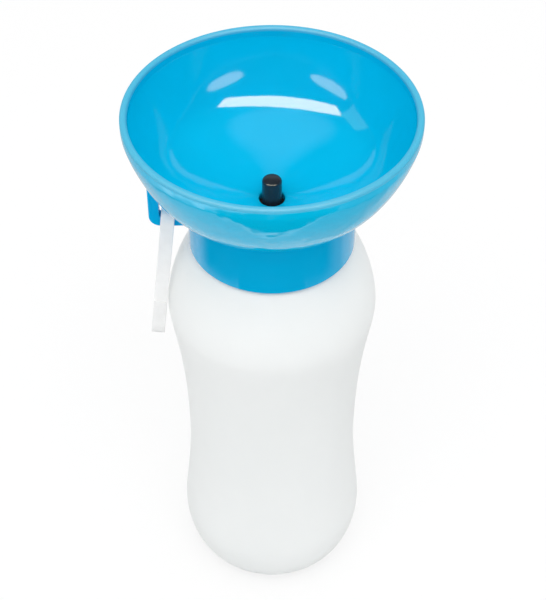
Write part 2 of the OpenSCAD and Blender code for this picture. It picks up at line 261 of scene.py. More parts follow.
def finished(name, bm, body, nodes, material, sharp=SHARP_ANGLE):
    """Turns a bmesh into a shaded piece that rides on a body and stands for CAD nodes."""
    mesh = bpy.data.meshes.new(name)
    bm.to_mesh(mesh)
    bm.free()
    mesh.shade_smooth()
    mesh.set_sharp_from_angle(angle=sharp)
    mesh.materials.append(material)
    piece = bpy.data.objects.new(name, mesh)
    bpy.context.scene.collection.objects.link(piece)
    # The wide faces keep their own normals, so that the rounded edges don't bend reflections
    weighted = piece.modifiers.new("Weighted normals", "WEIGHTED_NORMAL")
    weighted.mode = "FACE_AREA"
    weighted.keep_sharp = True
    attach(piece, body)
    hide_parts(*nodes)
    return piece


def turned(line, closed, steps=TURN_STEPS):
    """Spins a (radius, height) line round Z. A third number on a point rounds that corner."""
    bm = bmesh.new()
    points = [bm.verts.new((p[0], 0, p[1])) for p in line]
    ends = points[1:] + points[:1] if closed else points[1:]
    for a, b in zip(points, ends):
        bm.edges.new((a, b))
    corners = [(vert, p[2]) for vert, p in zip(points, line) if len(p) > 2]
    for vert, radius in corners:
        bmesh.ops.bevel(
            bm, geom=[vert], offset=radius, offset_type="OFFSET", segments=CORNER_SEGMENTS,
            profile=0.5, affect="VERTICES", material=-1,
        )
    bmesh.ops.spin(
        bm, geom=bm.verts[:] + bm.edges[:], cent=(0, 0, 0), axis=(0, 0, 1), dvec=(0, 0, 0),
        angle=TURN, steps=steps, use_merge=True, use_duplicate=False,
    )
    bmesh.ops.remove_doubles(bm, verts=bm.verts, dist=MERGE_DISTANCE)
    bmesh.ops.recalc_face_normals(bm, faces=bm.faces)
    return bm


def join(bm, other):
    """Adds a second bmesh's shell to the first."""
    mesh = bpy.data.meshes.new("joined")
    other.to_mesh(mesh)
    other.free()
    bm.from_mesh(mesh)
    bpy.data.meshes.remove(mesh)


def smooth_step(x):
    """0 below 0, 1 above 1 and a soft rise between."""
    x = min(1.0, max(0.0, x))
    return x * x * (3 - 2 * x)


def thread_ridge(thread, wall_radius, outwards, start, turns):
    """A helical ridge that fades into its wall at both ends."""
    sign = 1 if outwards else -1
    flank = (thread.root_width - thread.crest_width) / 2 / thread.depth
    bed_half = thread.root_width / 2 + flank * thread.bed
    crest_half = thread.crest_width / 2
    bed = wall_radius - sign * thread.bed
    crest = wall_radius + sign * thread.depth
    profile = [(bed, -bed_half), (crest, -crest_half), (crest, crest_half), (bed, bed_half)]
    steps = math.ceil(turns * RIDGE_STEPS)
    bm = bmesh.new()
    points = [bm.verts.new((r, 0, start + h)) for r, h in profile]
    for a, b in zip(points, points[1:] + points[:1]):
        bm.edges.new((a, b))
    for vert in points[1:3]:
        bmesh.ops.bevel(
            bm, geom=[vert], offset=RIDGE_EDGE, offset_type="OFFSET", segments=2,
            profile=0.5, affect="VERTICES", material=-1,
        )
    bmesh.ops.spin(
        bm, geom=bm.verts[:] + bm.edges[:], cent=(0, 0, 0), axis=(0, 0, 1),
        dvec=(0, 0, thread.lead * turns / steps), angle=TURN * turns, steps=steps,
        use_merge=False, use_duplicate=False,
    )
    bmesh.ops.holes_fill(bm, edges=[e for e in bm.edges if e.is_boundary], sides=0)
    for vert in bm.verts:
        share = math.atan2(vert.co.y, vert.co.x) / TURN
        turn = round((vert.co.z - start) / thread.lead - share) + share
        since, left = turn + RIDGE_OVERRUN, turns + RIDGE_OVERRUN - turn
        height = smooth_step(since / RIDGE_FADE) * smooth_step(left / RIDGE_FADE)
        radius = math.hypot(vert.co.x, vert.co.y)
        faded = bed + (radius - bed) * max(height, RIDGE_END)
        vert.co.x *= faded / radius
        vert.co.y *= faded / radius
    bmesh.ops.recalc_face_normals(bm, faces=bm.faces)
    return bm


# Material helpers ----------------------------------------------------------------------------

def add_node(tree, kind, inputs=None, **settings):
    """A new node with its settings, and its inputs set to values or linked to outputs."""
    node = tree.nodes.new(kind)
    for setting, value in settings.items():
        setattr(node, setting, value)
    for socket, value in (inputs or {}).items():
        if isinstance(value, bpy.types.NodeSocket):
            tree.links.new(value, node.inputs[socket])
        else:
            node.inputs[socket].default_value = value
    return node


class Finish:
    """A Principled material with a few ways to drive it by the place on the piece."""

    def __init__(self, name, roughness, **sockets):
        self.material = bpy.data.materials.new(name)
        self.material.use_nodes = True
        self.tree = self.material.node_tree
        self.shader = self.tree.nodes["Principled BSDF"]
        self.place = self.node("ShaderNodeTexCoord").outputs["Object"]
        self.shader.inputs["Roughness"].default_value = roughness
        for socket, value in sockets.items():
            self.shader.inputs[socket.replace("_", " ")].default_value = value
        self.bump = None

    def node(self, kind, inputs=None, **settings):
        return add_node(self.tree, kind, inputs, **settings)

    def noise(self, feature, detail=2.0, stretch=(1, 1, 1)):
        """Noise with features of about that size, in metres."""
        place = self.place
        if stretch != (1, 1, 1):
            place = self.node("ShaderNodeMapping", {"Vector": place, "Scale": stretch}).outputs[0]
        texture = self.node("ShaderNodeTexNoise", {
            "Vector": place, "Scale": 1 / feature, "Detail": detail, "Roughness": 0.55,
        })
        return texture.outputs["Fac"]

    def spread(self, value, low, high, from_low=0.3, from_high=0.7):
        """Maps a value onto a range."""
        return self.node("ShaderNodeMapRange", {
            "Value": value, "From Min": from_low, "From Max": from_high,
            "To Min": low, "To Max": high,
        }).outputs["Result"]

    def blend(self, factor, first, second):
        """Mixes two colours or two colour outputs."""
        mix = self.node("ShaderNodeMix", {0: factor, 6: first, 7: second}, data_type="RGBA")
        return mix.outputs[2]

    def link(self, value, socket):
        """Drives a socket of the shader."""
        self.tree.links.new(value, self.shader.inputs[socket])

    def raise_by(self, height, depth):
        """Adds a bump of that depth, in metres."""
        inputs = {"Height": height, "Distance": depth, "Strength": 1.0}
        if self.bump:
            inputs["Normal"] = self.bump
        self.bump = self.node("ShaderNodeBump", inputs).outputs["Normal"]
        self.link(self.bump, "Normal")


def rgba(value, factor=1.0):
    """A colour with alpha, made lighter or darker by a factor."""
    return tuple(min(1.0, c * factor) for c in value) + (1.0,)


def moulded_gloss(name, base, roughness, waves, depth, ripple=0.0, lip=None):
    """Injection-moulded glossy plastic: faint clouds, flow waves and an uneven polish.

    Ripples of that depth grow towards the front, where the flow of the melt ended. lip is the
    height from which the surface is matt, as the mould closed there, and its colour, which is
    painted light.
    """
    finish = Finish(name, roughness, IOR=1.5)
    cloud = finish.noise(28 * MM, 3)
    tint = finish.blend(finish.spread(cloud, 0, 1), rgba(base, 0.965), rgba(base, 1.02))
    polish = finish.spread(finish.noise(6 * MM, 4), roughness * 0.8, roughness * 1.25)
    if lip:
        height, lip_painted_blue = lip
        up = finish.node("ShaderNodeSeparateXYZ", {"Vector": finish.place}).outputs["Z"]
        matt = finish.spread(up, 0, 1, height - 0.3 * MM, height + 0.3 * MM)
        polish = finish.node("ShaderNodeMix", {0: matt, 2: polish, 3: LIP_ROUGHNESS}).outputs[0]
        # Painted light: the lip's own colour replaces the bowl's blue where it is matt
        tint = finish.blend(matt, tint, rgba(lip_painted_blue))
    finish.link(tint, "Base Color")
    finish.link(polish, "Roughness")
    finish.raise_by(finish.noise(waves, 1), depth)
    finish.raise_by(finish.noise(0.5 * MM, 2), 0.0006 * MM)
    if ripple:
        back = finish.node("ShaderNodeSeparateXYZ", {"Vector": finish.place}).outputs["Y"]
        end = finish.spread(back, 1, 0, -14 * MM, 4 * MM)
        rough = finish.node("ShaderNodeMath", {0: finish.noise(7 * MM, 1), 1: end}, operation="MULTIPLY")
        finish.raise_by(rough.outputs[0], ripple)
    return finish.material


def milky_squeeze(name, base):
    """Blown soft plastic: milky depth, faint clouds, a fine skin and a mould line at each side."""
    finish = Finish(
        name, 0.5, IOR=1.5, Specular_IOR_Level=0.3, Subsurface_Weight=0.35,
        Subsurface_Radius=(1.0, 1.0, 1.0), Subsurface_Scale=1.6 * MM,
    )
    cloud = finish.spread(finish.noise(35 * MM, 3, (1, 1, 0.5)), 0, 1)
    finish.link(finish.blend(cloud, rgba(base, 0.985), rgba(base, 1.01)), "Base Color")
    finish.link(finish.spread(finish.noise(9 * MM, 3), 0.44, 0.56), "Roughness")
    finish.raise_by(finish.noise(18 * MM, 1, (1, 1, 0.4)), 0.05 * MM)
    finish.raise_by(finish.noise(0.7 * MM, 3), 0.004 * MM)
    across = finish.node("ShaderNodeSeparateXYZ", {"Vector": finish.place}).outputs["Y"]
    distance = finish.node("ShaderNodeMath", {0: across}, operation="ABSOLUTE").outputs[0]
    finish.raise_by(finish.spread(distance, 1, 0, 0.1 * MM, 0.35 * MM), 0.05 * MM)
    return finish.material


def soft_strap(name, base):
    """Soft satin rubber band with fine drawing lines along it and a faint mottle."""
    finish = Finish(
        name, 0.52, IOR=1.45, Subsurface_Weight=0.2, Subsurface_Radius=(1.0, 1.0, 1.0),
        Subsurface_Scale=0.6 * MM,
    )
    mottle = finish.spread(finish.noise(4 * MM, 3), 0, 1)
    finish.link(finish.blend(mottle, rgba(base, 0.97), rgba(base, 1.01)), "Base Color")
    finish.link(finish.spread(finish.noise(2.5 * MM, 2), 0.46, 0.58), "Roughness")
    finish.raise_by(finish.noise(0.6 * MM, 2, (1, 1, 0.06)), 0.006 * MM)
    return finish.material


def plain_moulding(name, base, roughness, grain, depth, mottle=0.12, **sockets):
    """Moulded plastic or rubber with an even grain, for the small black and pale parts."""
    finish = Finish(name, roughness, IOR=1.5, **sockets)
    cloud = finish.spread(finish.noise(5 * MM, 3), 0, 1)
    finish.link(finish.blend(cloud, rgba(base, 1 - mottle), rgba(base, 1 + mottle)), "Base Color")
    finish.link(finish.spread(finish.noise(2 * MM, 3), roughness * 0.85, roughness * 1.2), "Roughness")
    finish.raise_by(finish.noise(grain, 3), depth)
    return finish.material


# Pieces --------------------------------------------------------------------------------------

class PieceOperator:
    """What the operators that build the pieces share."""

    bl_options = {"REGISTER", "UNDO"}

    @property
    def settings(self):
        return bpy.context.scene.water_bottle

    def thicken(self, bm, along):
        """Extrudes the flat faces into a closed solid."""
        moved = bmesh.ops.extrude_face_region(bm, geom=bm.faces[:])["geom"]
        bmesh.ops.translate(bm, verts=[g for g in moved if isinstance(g, bmesh.types.BMVert)], vec=along)
        bmesh.ops.recalc_face_normals(bm, faces=bm.faces)

    def soften(self, bm, radius, chosen):
        """Rounds the sharp edges that chosen picks by their two ends."""
        edges = [e for e in bm.edges if len(e.link_faces) == 2 and chosen(*e.verts)
                 and e.calc_face_angle() > math.radians(60)]
        bmesh.ops.bevel(
            bm, geom=edges, offset=radius, offset_type="OFFSET", segments=3, profile=0.5,
            affect="EDGES", material=-1,
        )
        bmesh.ops.recalc_face_normals(bm, faces=bm.faces)

    def execute(self, context):
        self.build()
        return {"FINISHED"}


class WATERBOTTLE_OT_squeeze_bottle(PieceOperator, bpy.types.Operator):
    """Blown squeeze bottle with its foot ring, grip, shoulder and threaded neck"""

    bl_idname = "water_bottle.squeeze_bottle"
    bl_label = "Squeeze Bottle"

    def build(self):
        s, thread = self.settings.bottle, self.settings.thread
        flat = s.foot_radius - s.foot_width
        bulge, waist = (s.bulge_radius, s.bulge_height), (s.waist_radius, s.waist_height)
        widest = (s.shoulder_radius, s.shoulder_height)
        base = [(0, s.base_rise), (s.foot_radius * 0.4, s.base_rise), (s.foot_radius * 0.75, 0), (flat, 0)]
        heel = [(s.foot_radius, 0), (s.foot_radius + HEEL_SHARE * (s.bulge_radius - s.foot_radius), 0),
                (s.bulge_radius, s.bulge_height * 0.4), bulge]
        grip = [bulge, (s.bulge_radius, s.bulge_height + BULGE_PULL),
                (s.waist_radius, s.waist_height - WAIST_PULL), waist]
        swell = [waist, (s.waist_radius, s.waist_height + SWELL_PULL),
                 (s.shoulder_radius, s.shoulder_height - SHOULDER_PULL), widest]
        root = s.neck_radius + ROOT_SHARE * (s.shoulder_radius - s.neck_radius)
        shoulder = [widest, (s.shoulder_radius, s.shoulder_height + SHOULDER_RISE),
                    (root, s.neck_root), (s.neck_radius, s.neck_root)]
        bore = s.neck_radius - s.neck_wall
        outside = curve_line(base) + curve_line(heel)
        for part in (grip, swell, shoulder):
            outside += curve_line(part)[1:]
        outside[-1] = (s.neck_radius, s.neck_root, 0.7 * MM)
        inside = curve_line(shoulder[::-1], -s.wall)
        for part in (swell, grip, heel):
            inside += curve_line(part[::-1], -s.wall)[1:]
        inside += curve_line(base[::-1], -s.wall)
        mouth = [(s.neck_radius, s.neck_top, 0.5 * MM), (bore, s.neck_top, 0.4 * MM), (bore, s.neck_root)]
        bm = turned(outside + mouth + inside, closed=False, steps=192)
        join(bm, thread_ridge(thread, s.neck_radius, True, thread.neck_start, thread.neck_turns))
        finished("squeeze_bottle", bm, "bottle", ["bottle"],
                 milky_squeeze("Milky squeeze plastic", self.settings.finish.milky_white))


class WATERBOTTLE_OT_collar(PieceOperator, bpy.types.Operator):
    """Screw collar with its inner thread and softened edges"""

    bl_idname = "water_bottle.collar"
    bl_label = "Screw Collar"

    def build(self):
        s, thread = self.settings.bowl, self.settings.thread
        step = s.seat_height - s.centring_depth
        line = [
            (s.collar_bore, s.collar_base, 0.3 * MM), (s.collar_radius, s.collar_base, 0.55 * MM),
            (s.collar_radius, s.seat_height, 0.15 * MM), (s.centring_radius, s.seat_height, 0.2 * MM),
            (s.centring_radius, step), (s.collar_bore, step - (s.collar_bore - s.centring_radius)),
        ]
        bm = turned(line, closed=True)
        join(bm, thread_ridge(thread, s.collar_bore, False, thread.collar_start, thread.collar_turns))
        # Painted shade: the collar takes a darker copy of the bowl's blue
        finished("screw_collar", bm, "bowl_head", ["collar"], moulded_gloss(
            "Shaded blue collar plastic", self.settings.finish.collar_shaded_blue, roughness=0.08, waves=14 * MM,
            depth=0.02 * MM))


class WATERBOTTLE_OT_bowl(PieceOperator, bpy.types.Operator):
    """Flared drinking bowl with its full-round lip, funnel floor and stem hole"""

    bl_idname = "water_bottle.bowl"
    bl_label = "Drinking Bowl"

    def build(self):
        s = self.settings.bowl
        belly = s.collar_radius + FLARE_SHARE * (s.rim_radius - s.collar_radius)
        flare = [(s.rim_radius, s.rim_height - LIP_DROP * s.wall),
                 (s.rim_radius, s.rim_height - RIM_PULL * s.wall),
                 (belly, s.seat_height + FLARE_RISE), (s.collar_radius, s.seat_height)]
        outside = curve_line(flare[::-1])
        inside = curve_line(flare, -s.wall, s.dish_start)
        lip_radius = s.wall / 2
        middle = Vector((s.rim_radius - lip_radius, s.rim_height - lip_radius))
        lip = [tuple(middle + lip_radius * Vector((math.cos(a), math.sin(a))))
               for a in (math.pi * i / 16 for i in range(17))]
        start, end = Vector(inside[-1]), Vector((s.hole_radius, s.hole_height))
        run = (start - end).length
        along = curve_point(flare, s.dish_start)[1]
        uphill = Vector((math.cos(s.floor_tilt), math.sin(s.floor_tilt)))
        dish = [start, start + DISH_PULL * run * along, end + HOLE_PULL * run * uphill, end]
        inside += curve_line(dish)[1:-1]
        floor = [(s.hole_radius, s.hole_height, 0.45 * MM)]
        hub_radius = s.hole_radius + s.wall
        under = [p for p in curve_line(dish, s.wall)
                 if hub_radius + 1 * MM < p[0] < s.land_radius - 0.5 * MM][::-1]
        foot = [(s.land_radius, s.land_height), (s.spigot_radius, s.land_height, 0.4 * MM),
                (s.spigot_radius, s.seat_height)]
        hub = [(s.hole_radius, s.hub_height, 0.3 * MM), (hub_radius, s.hub_height, 0.4 * MM)]
        bm = turned(outside + lip + inside + floor + hub + under + foot, closed=True, steps=224)
        colours = self.settings.finish
        finished("drinking_bowl", bm, "bowl_head", ["bowl"], moulded_gloss(
            "Blue bowl plastic", colours.bowl_blue, roughness=0.07, waves=20 * MM, depth=0.2 * MM,
            ripple=0.3 * MM, lip=(s.rim_height - LIP_DEPTH * s.wall, colours.lip_painted_blue)))


class WATERBOTTLE_OT_valve_stem(PieceOperator, bpy.types.Operator):
    """Glossy stem with its flange and fluted plug"""

    bl_idname = "water_bottle.valve_stem"
    bl_label = "Valve Stem"

    def build(self):
        s = self.settings.stem
        flute_end = s.plug_base + FLUTE_LENGTH
        line = [
            (0, s.plug_base), (s.plug_radius, s.plug_base, 0.3 * MM), (s.plug_radius, flute_end),
            (s.plug_radius, s.flange_base), (s.flange_radius, s.flange_base, 0.25 * MM),
            (s.flange_radius, s.flange_top, 0.3 * MM), (s.radius, s.flange_top),
            (s.radius, s.top, s.edge), (0, s.top),
        ]
        bm = turned(line, closed=False, steps=96)
        reach = 2 * math.asin(s.flute_radius / (2 * s.plug_radius))
        for vert in bm.verts:
            radius = math.hypot(vert.co.x, vert.co.y)
            if vert.co.z > flute_end + MERGE_DISTANCE or radius < 0.3 * s.plug_radius:
                continue
            angle = math.atan2(vert.co.y, vert.co.x)
            off = (angle + TURN / 6) % (TURN / 3) - TURN / 6
            if abs(off) < reach:
                ray = s.plug_radius * math.cos(off) - math.sqrt(
                    max(0.0, s.flute_radius**2 - (s.plug_radius * math.sin(off)) ** 2))
                vert.co.x *= ray / s.plug_radius
                vert.co.y *= ray / s.plug_radius
        bmesh.ops.recalc_face_normals(bm, faces=bm.faces)
        finished("valve_pin", bm, "bottle", ["valve_stem"], plain_moulding(
            "Gloss black acetal", self.settings.finish.stem_black, roughness=0.17, grain=0.5 * MM,
            depth=0.004 * MM, Specular_Tint=(0.65, 0.87, 1.0, 1.0)))


class WATERBOTTLE_OT_hook(PieceOperator, bpy.types.Operator):
    """Hook under the bowl's rim: a post with a rounded corner and a bar to the collar"""

    bl_idname = "water_bottle.hook"
    bl_label = "Strap Hook"

    def build(self):
        s, bowl = self.settings.strap, self.settings.bowl
        low, high = s.bar_level - s.bar_height / 2, s.bar_level + s.bar_height / 2
        outer, inner = -s.hook_reach, -s.hook_reach + s.post_width
        half = s.hook_thickness / 2
        root = -bowl.collar_radius + 0.8 * MM
        outline = [
            (outer, s.post_outer_top), (outer, low), (root, low), (root, high), (inner, high),
            (inner, s.post_inner_top),
        ]
        bm = bmesh.new()
        points = [bm.verts.new((x, -half, z)) for x, z in outline]
        bm.faces.new(points)
        for point, radius, segments in ((points[1], s.corner, 12), (points[4], 0.8 * MM, 4)):
            bmesh.ops.bevel(
                bm, geom=[point], offset=radius, offset_type="OFFSET", segments=segments,
                profile=0.5, affect="VERTICES", material=-1,
            )
        self.thicken(bm, (0, s.hook_thickness, 0))
        self.soften(bm, s.hook_edge, lambda a, b: abs(a.co.y - b.co.y) < MERGE_DISTANCE)
        # Painted light: the hook takes a lit copy of the bowl's blue
        finished("strap_hook", bm, "bowl_head", ["strap_bracket"], moulded_gloss(
            "Lit blue hook plastic", self.settings.finish.hook_lit_blue, roughness=0.09, waves=10 * MM,
            depth=0.01 * MM))


class WATERBOTTLE_OT_strap(PieceOperator, bpy.types.Operator):
    """Soft band that loops round the hook's bar, closed by a glued lap"""

    bl_idname = "water_bottle.strap"
    bl_label = "Hand Strap"

    def loop(self, top_radius, low_radius, drop, steps=28):
        """Two arcs of (y, z) points that their common tangents join, the upper one round the bar."""
        tilt = math.asin((low_radius - top_radius) / drop)
        top, low = [], []
        for i in range(steps + 1):
            a = tilt + (math.pi - 2 * tilt) * i / steps
            top.append((top_radius * math.cos(a), top_radius * math.sin(a)))
            b = math.pi - tilt + (math.pi + 2 * tilt) * i / steps
            low.append((low_radius * math.cos(b), low_radius * math.sin(b) - drop))
        return top, low

    def ring(self, bm, points, x):
        """A closed loop of edges through (y, z) points."""
        verts = [bm.verts.new((x, y, z)) for y, z in points]
        return [bm.edges.new((a, b)) for a, b in zip(verts, verts[1:] + verts[:1])]

    def build(self):
        s = self.settings.strap
        drop = s.strap_drop - s.bend
        bm = bmesh.new()
        top, low = self.loop(s.wrap + s.strap_thickness, s.bend, drop)
        edges = self.ring(bm, top + low, -s.strap_width / 2)
        inner_top, inner_low = self.loop(s.wrap, s.bend - s.strap_thickness, drop)
        edges += self.ring(bm, inner_top + inner_low, -s.strap_width / 2)
        bmesh.ops.bridge_loops(bm, edges=edges)
        self.thicken(bm, (s.strap_width, 0, 0))
        self.soften(bm, s.strap_edge, self.lengthwise)
        lap = bmesh.new()
        lap_width = s.strap_width - 0.16 * MM
        points = [lap.verts.new((-lap_width / 2, y, z)) for y, z in self.lap_outline(drop)]
        lap.faces.new(points)
        self.thicken(lap, (lap_width, 0, 0))
        self.soften(lap, s.lap_thickness * 0.6, self.lengthwise)
        join(bm, lap)
        place = Matrix.Translation((-s.strap_distance, 0, s.bar_level)) @ Matrix.Rotation(s.lean, 4, "Y")
        bmesh.ops.transform(bm, matrix=place, verts=bm.verts)
        finished("strap_band", bm, "strap", ["hand_strap"],
                 soft_strap("Soft white rubber", self.settings.finish.strap_white))

    def lengthwise(self, a, b):
        return abs(a.co.x - b.co.x) < MERGE_DISTANCE

    def lap_outline(self, drop):
        """Outline of the lap: from its step on the front run, round into the lower bend."""
        s = self.settings.strap
        sides = []
        for gap in (s.lap_thickness, -0.4 * s.strap_thickness):
            top, low = self.loop(s.wrap + s.strap_thickness + gap, s.bend + gap, drop)
            share = (-s.lap_from - top[-1][1]) / (low[0][1] - top[-1][1])
            start = tuple(a + (b - a) * share for a, b in zip(top[-1], low[0]))
            sides.append([start] + low[:9])
        outer, inner = sides
        tail = [tuple(a + (b - a) * smooth_step(i / 4) for a, b in zip(outer[-5 + i], inner[-5 + i]))
                for i in range(4)]
        return outer[:-5] + tail + inner[::-1]


class WATERBOTTLE_OT_inner_parts(PieceOperator, bpy.types.Operator):
    """Finishes of the parts inside the neck: tube, carrier, seals and gasket"""

    bl_idname = "water_bottle.inner_parts"
    bl_label = "Inner Parts"

    def build(self):
        f = self.settings.finish
        seal = plain_moulding("Black sealing rubber", f.seal_black, 0.55, 0.4 * MM, 0.003 * MM)
        finishes = {
            "riser_tube": plain_moulding(
                "Milky tube plastic", f.tube_white, 0.3, 0.8 * MM, 0.003 * MM, mottle=0.02),
            "valve_carrier": plain_moulding(
                "Black carrier plastic", f.valve_black, 0.4, 0.6 * MM, 0.006 * MM),
            "carrier_seal": seal,
            "stem_seal": seal,
            "neck_gasket": plain_moulding(
                "Grey gasket rubber", f.gasket_grey, 0.6, 0.5 * MM, 0.004 * MM, mottle=0.03),
        }
        for node, material in finishes.items():
            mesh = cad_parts[node].data
            mesh.materials.clear()
            mesh.materials.append(material)


# Studio --------------------------------------------------------------------------------------

CAMERA_PLACE = (0, -0.370, 0.4989)
CAMERA_DEGREES_DOWN = 44.67
CAMERA_LENS = 85.33
CAMERA_SHIFT = 0.0017
BOWL_CENTRE = (0, 0, 0.2)
FLOOR_RADIUS = 6.0
# The floor's colour as it lights the bottle, then its paint and its own glow where it is seen
FLOOR_BOUNCE = (0.78, 0.78, 0.78)
FLOOR_SHADED = (0.3, 0.3, 0.3)
FLOOR_WHITE = 0.67
# The surroundings' strength past the floor's edge, and as the soft light on the bottle
HORIZON = 0.92
AMBIENT = 0.832
# What reflections show instead: a dim room, a backdrop that rises to the back, and a glow
# overhead. Places are parts of a direction of length 1, and pairs are where a change runs.
ROOM = 0.012
BACKDROP = 0.8
BACKDROP_RISE = 0.2
BACKDROP_SLOPE = (-0.2, 0.35)
BACKDROP_EDGE = (0.03, 0.12)
GLOW = 0.656
GLOW_CENTRE = (-0.09, 0.0)
GLOW_REACH = (0.5, 0.37)
GLOW_EDGE = (1.2, 0.5)
GLOW_HEIGHT = (0.5, 0.6)
# Painted reflection: the mirrored floor is a glowing sheet whose pale, black and bright parts stand in for
# the floor as the glossy plastics mirror it
# The mirrored floor. Pairs are where a change starts and ends, in metres, or for what a circle
# bounds as a share of its squared radius
MIRROR_RADIUS = 0.6
MIRROR_HEIGHT = 0.002
MIRROR_END = (0.95, 0.6)
MIRROR_TONES = (0.72, 0.42)
TONE_ACROSS = (-0.03, 0.16)
TONE_DEPTH = (0.08, 0.03)
# Its black card spreads sideways towards the front, behind a pale edge
CARD_SPREAD = 0.6
CARD_EDGE = (-0.053, -0.061)
CARD_RADIUS = 0.31
CARD_END = (1.1, 0.95)
CARD_PALE = 0.6
CARD_PALE_EDGE = (-0.04, -0.054)
# Its black belt is a ring round the front
BELT_RADII = (0.194, 0.24)
BELT_INSIDE = (0.98, 1.04)
BELT_OUTSIDE = (1.05, 0.97)
BELT_SLANT = 0.15
BELT_END = (0.055, -0.035)
# Its far part is bright
FAR_GLOW = 2.0
FAR_CENTRE = (0.04, 0.0)
FAR_RADIUS = 0.31
FAR_START = (1.0, 1.15)
FAR_DEPTH = (0.05, -0.1)
# Name, shape, place, (width, height), radiance, colour, and how much of it each reflection in
# turn shows. Those without shares light the bottle, and the others show in its reflections alone.
LIGHT_PANELS = [
    ("Overhead softbox", "RECTANGLE", (0.1, 0.1, 1.4), (1.3, 1.3), 0.6, (1, 1, 1), ()),
    ("Front softbox", "RECTANGLE", (-0.05, -0.75, 1.5), (1.6, 0.8), 1.8, (1, 1, 1), ()),
    ("Mirrored strip", "RECTANGLE", (-0.09, -0.53, 1.05), (2.05, 0.42), 15.5, (1, 0.68, 0.45), (1.0, 0.2)),
    ("Mirrored right panel", "ELLIPSE", (0.64, -0.725, 0.485), (0.6, 0.13), 3.9, (1, 0.78, 0.6), (1.0,)),
    ("Mirrored left panel", "ELLIPSE", (-0.755, -0.605, 0.48), (0.66, 0.13), 4.0, (1, 0.78, 0.6), (1.0,)),
    ("Mirrored side panel", "RECTANGLE", (-0.94, 0.0, 0.56), (0.42, 0.7), 1.2, (0.8, 1, 0.5), (1.0,)),
    ("Mirrored back panel", "RECTANGLE", (0, 1.2, 0.77), (3.0, 0.6), 0.8, (1, 0.9, 0.8), (1.0,)),
]


class StageShader:
    """The node tree of a part of the stage, with the few sums that its patterns need."""

    def __init__(self, tree):
        self.tree = tree

    def node(self, kind, inputs=None, **settings):
        return add_node(self.tree, kind, inputs, **settings)

    def math(self, operation, first, second=0.0):
        return self.node("ShaderNodeMath", {0: first, 1: second}, operation=operation).outputs[0]

    def plus(self, first, second):
        return self.math("ADD", first, second)

    def times(self, first, second):
        return self.math("MULTIPLY", first, second)

    def soft(self, value, start, end, low=0.0, high=1.0):
        """Maps value from start..end to low..high with soft ends."""
        return self.node("ShaderNodeMapRange", {
            "Value": value, "From Min": start, "From Max": end, "To Min": low, "To Max": high,
        }, interpolation_type="SMOOTHSTEP").outputs[0]

    def place(self, output):
        """X, Y and Z of a texture coordinate."""
        coordinate = self.node("ShaderNodeTexCoord").outputs[output]
        return self.node("ShaderNodeSeparateXYZ", {0: coordinate}).outputs

    def ellipse(self, place, reach, centre=(0.0, 0.0)):
        """1 on the ellipse round centre with that reach along X and Y, less inside it."""
        total = 0.0
        for axis, half, middle in zip("XY", reach, centre):
            share = self.math("DIVIDE", self.math("SUBTRACT", place[axis], middle), half)
            total = self.plus(self.times(share, share), total)
        return total

    def circle(self, place, radius, centre=(0.0, 0.0)):
        return self.ellipse(place, (radius, radius), centre)

    def seen_rays(self, camera=True):
        """1 for glossy and transmission rays, and for camera rays where asked."""
        path = self.node("ShaderNodeLightPath").outputs
        total = self.math("MAXIMUM", path["Is Glossy Ray"], path["Is Transmission Ray"])
        return self.math("MAXIMUM", total, path["Is Camera Ray"]) if camera else total

    def finish(self, shader, kind="ShaderNodeOutputMaterial"):
        self.node(kind, {"Surface": shader.outputs[0]})


